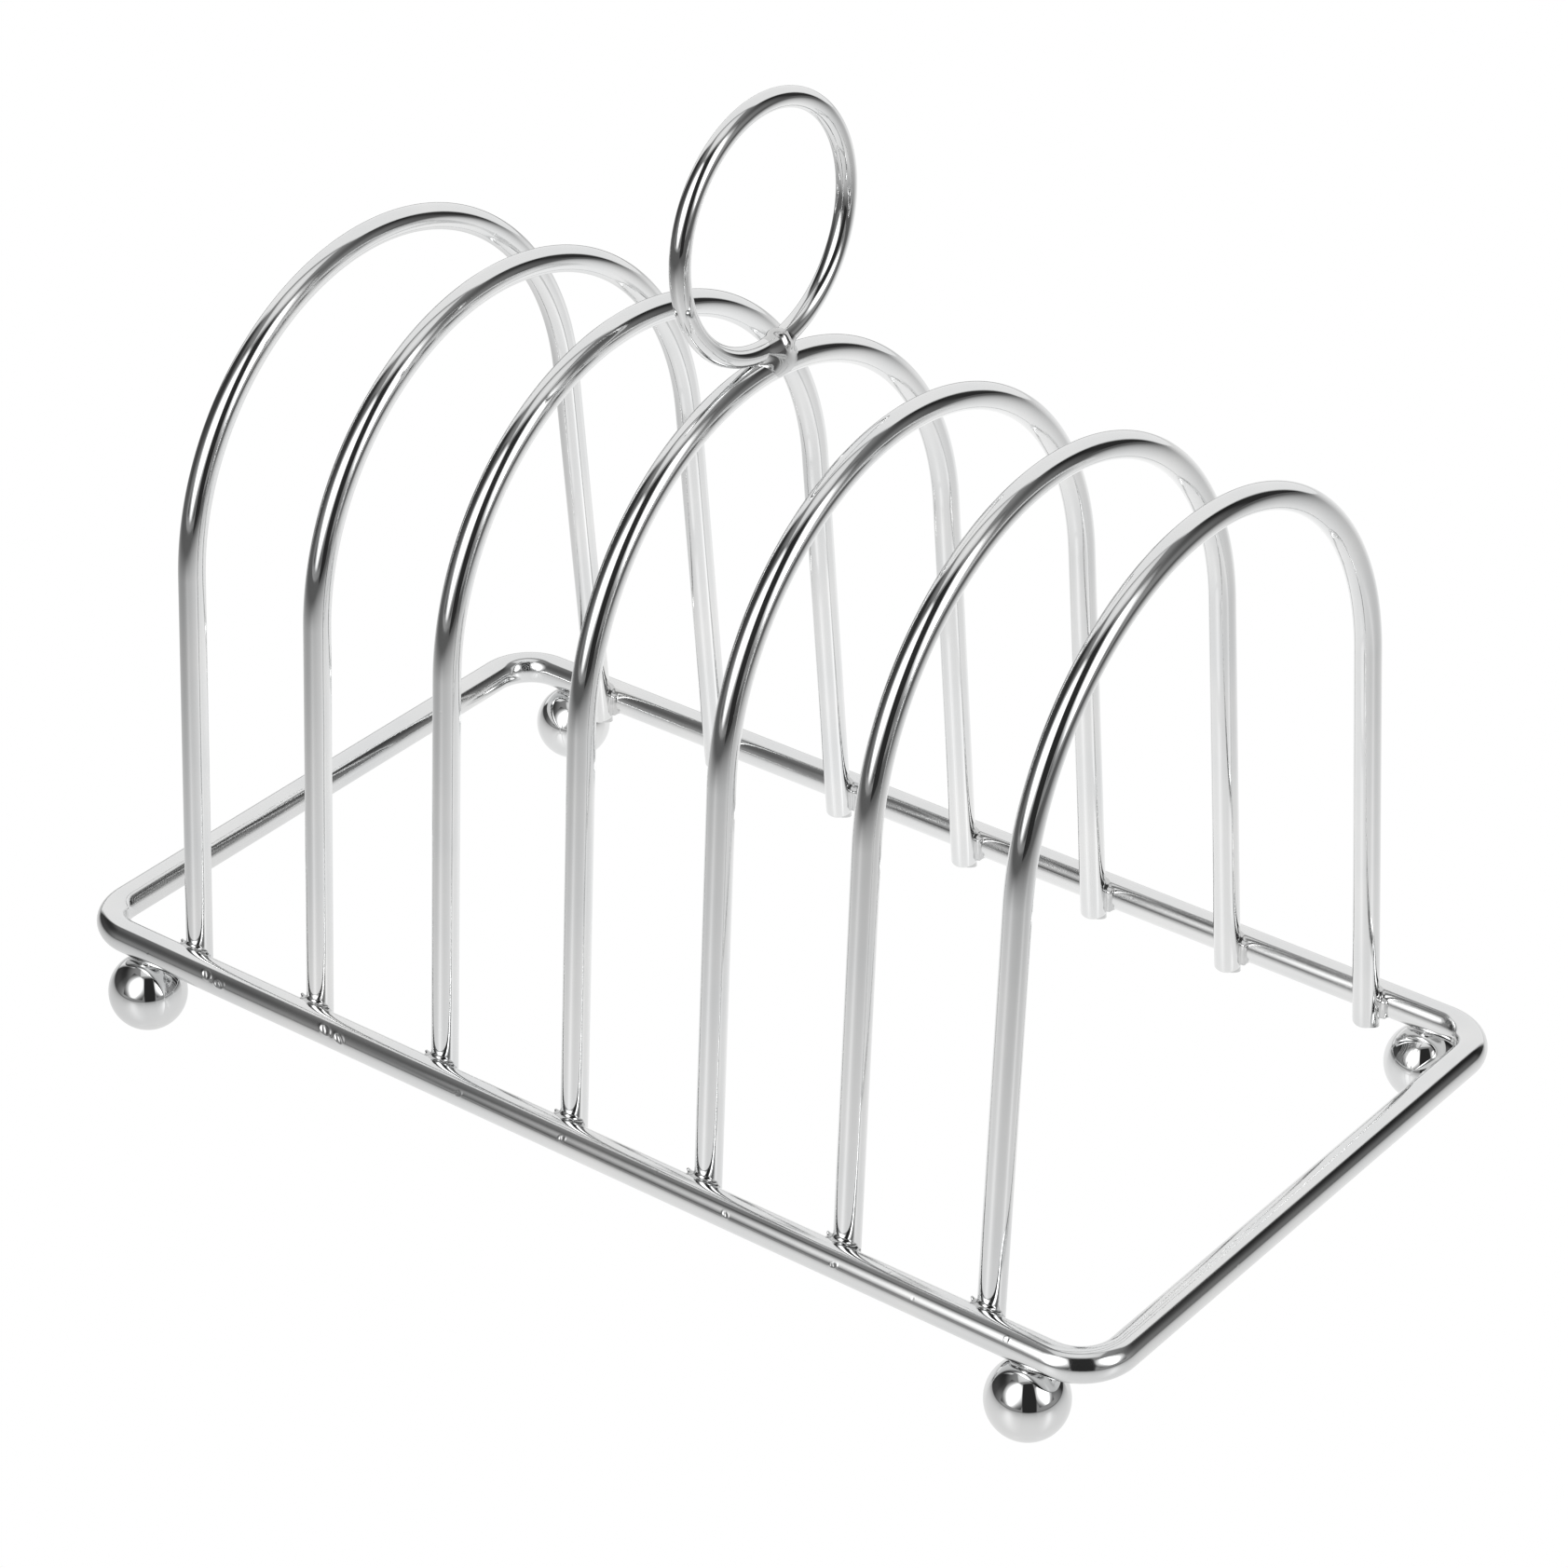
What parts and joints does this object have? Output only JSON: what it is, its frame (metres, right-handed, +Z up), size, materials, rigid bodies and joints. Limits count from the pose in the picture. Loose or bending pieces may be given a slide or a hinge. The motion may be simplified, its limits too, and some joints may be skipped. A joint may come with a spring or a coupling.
{
  "type": "toast rack",
  "caption": "Chromed wire toast rack: round-topped arches welded across a rectangular wire base on ball feet, with a ring handle on the middle arch.",
  "frame": {"origin": "on the floor under the middle of the base, between the four ball feet", "axes": "+X along the rack, across the slices; +Y from front to rear; +Z up"},
  "size_m": [0.19, 0.112, 0.1567],
  "materials": {
    "base_wire": "bright chrome plate on 5 mm steel wire",
    "arch_wire": "bright chrome plate on 4 mm steel wire",
    "ring_wire": "bright chrome plate on 3 mm steel wire",
    "ball_foot": "mirror chrome plate on a solid steel ball",
    "weld_bead": "chrome plate over a lumpy weld"
  },
  "bodies": {
    "root": {"base_frame": "base_wire", "arch_1": "arch_wire", "arch_2": "arch_wire", "arch_3": "arch_wire", "arch_4": "arch_wire", "arch_5": "arch_wire", "arch_6": "arch_wire", "arch_7": "arch_wire", "arch_1_welds": "weld_bead", "arch_2_welds": "weld_bead", "arch_3_welds": "weld_bead", "arch_4_welds": "weld_bead", "arch_5_welds": "weld_bead", "arch_6_welds": "weld_bead", "arch_7_welds": "weld_bead", "ring_handle": "ring_wire", "ring_weld": "weld_bead", "foot_front_left": "ball_foot", "foot_front_right": "ball_foot", "foot_rear_left": "ball_foot", "foot_rear_right": "ball_foot", "foot_weld_front_left": "weld_bead", "foot_weld_front_right": "weld_bead", "foot_weld_rear_left": "weld_bead", "foot_weld_rear_right": "weld_bead"}
  },
  "joints": []
}
